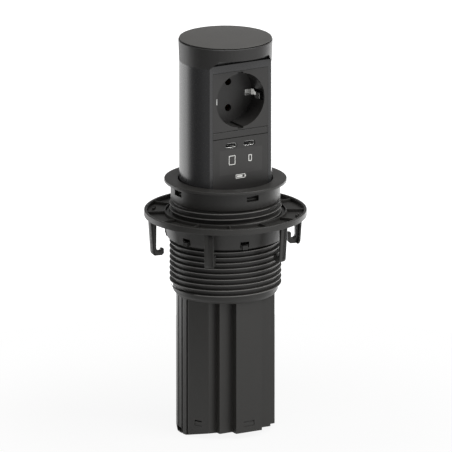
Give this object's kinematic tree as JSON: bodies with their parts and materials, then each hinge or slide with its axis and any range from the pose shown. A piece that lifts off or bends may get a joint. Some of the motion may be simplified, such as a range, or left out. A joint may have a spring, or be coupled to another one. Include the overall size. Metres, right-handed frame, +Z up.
{
  "type": "pop up desk socket",
  "caption": "Round desk socket tower with a mains recess and charging ports, rising out of a threaded sleeve clamped in a desk hole.",
  "frame": {"origin": "on the tower's axis, in the plane of the desk top, which is the underside of the trim ring", "axes": "+Z up, along the tower's travel; the socket face looks towards -Y; +X is to the right of the face"},
  "size_m": [0.1152, 0.1152, 0.2857],
  "materials": {
    "housing_plastic": "fine matt grain",
    "tower_plastic": "satin",
    "cap_plastic": "fine matt grain",
    "lid_plastic": "fine matt grain",
    "face_plastic": "satin",
    "contact_metal": "bright nickel plate",
    "steel": "zinc plated",
    "brass": "plain",
    "rubber": "matt",
    "board": "solder mask",
    "print": "pad printed ink"
  },
  "bodies": {
    "housing": {"trim_ring": "housing_plastic", "threaded_sleeve": "housing_plastic", "guide_tube": "housing_plastic", "base_cap": "housing_plastic", "spring_cylinder": "steel", "rod_guide": "brass", "latch_frame": "housing_plastic", "latch_pin": "steel", "end_buffers": "rubber"},
    "tower": {"cap_lid": "lid_plastic", "cap_skirt": "cap_plastic", "cap_screws": "steel", "tower_shell": "tower_plastic", "carriage": "housing_plastic", "carriage_screws": "steel", "spring_rod": "steel", "rod_nut": "steel", "latch_striker": "steel", "striker_screws": "steel", "socket_insert": "face_plastic", "earth_contact": "contact_metal", "live_contact": "brass", "neutral_contact": "brass", "terminal_screws": "steel", "socket_cover": "housing_plastic", "spacer_strip": "face_plastic", "charger_front": "face_plastic", "port_shells": "contact_metal", "port_tongues": "rubber", "charger_board": "board", "charger_parts": "rubber", "board_screws": "steel", "charger_cover": "housing_plastic"},
    "latch": {"latch_lever": "steel"},
    "clamp": {"clamp_ring": "housing_plastic"},
    "nut": {"lock_nut": "housing_plastic"}
  },
  "joints": [
    {"name": "tower_slide", "type": "slide", "parent": "housing", "child": "tower", "axis": [0, 0, 1], "range_m": [-0.1045, 0], "stiffness_N_per_m": 40, "springref_m": 0.5},
    {"name": "latch_turn", "type": "hinge", "parent": "housing", "child": "latch", "pos_m": [0, -0.0066, -0.1499], "axis": [1, 0, 0], "range_deg": [0, 10], "stiffness_Nm_per_rad": 0.02},
    {"name": "clamp_slide", "type": "slide", "parent": "housing", "child": "clamp", "axis": [0, 0, 1], "range_m": [-0.03, 0.014]},
    {"name": "nut_turn", "type": "hinge", "parent": "clamp", "child": "nut", "pos_m": [0, 0, -0.033], "axis": [0, 0, 1], "range_deg": [-2705, 1265]}
  ],
  "couplings": [
    {"joint": "nut_turn", "follows": "clamp_slide", "rad_per_m": 1570.8}
  ]
}
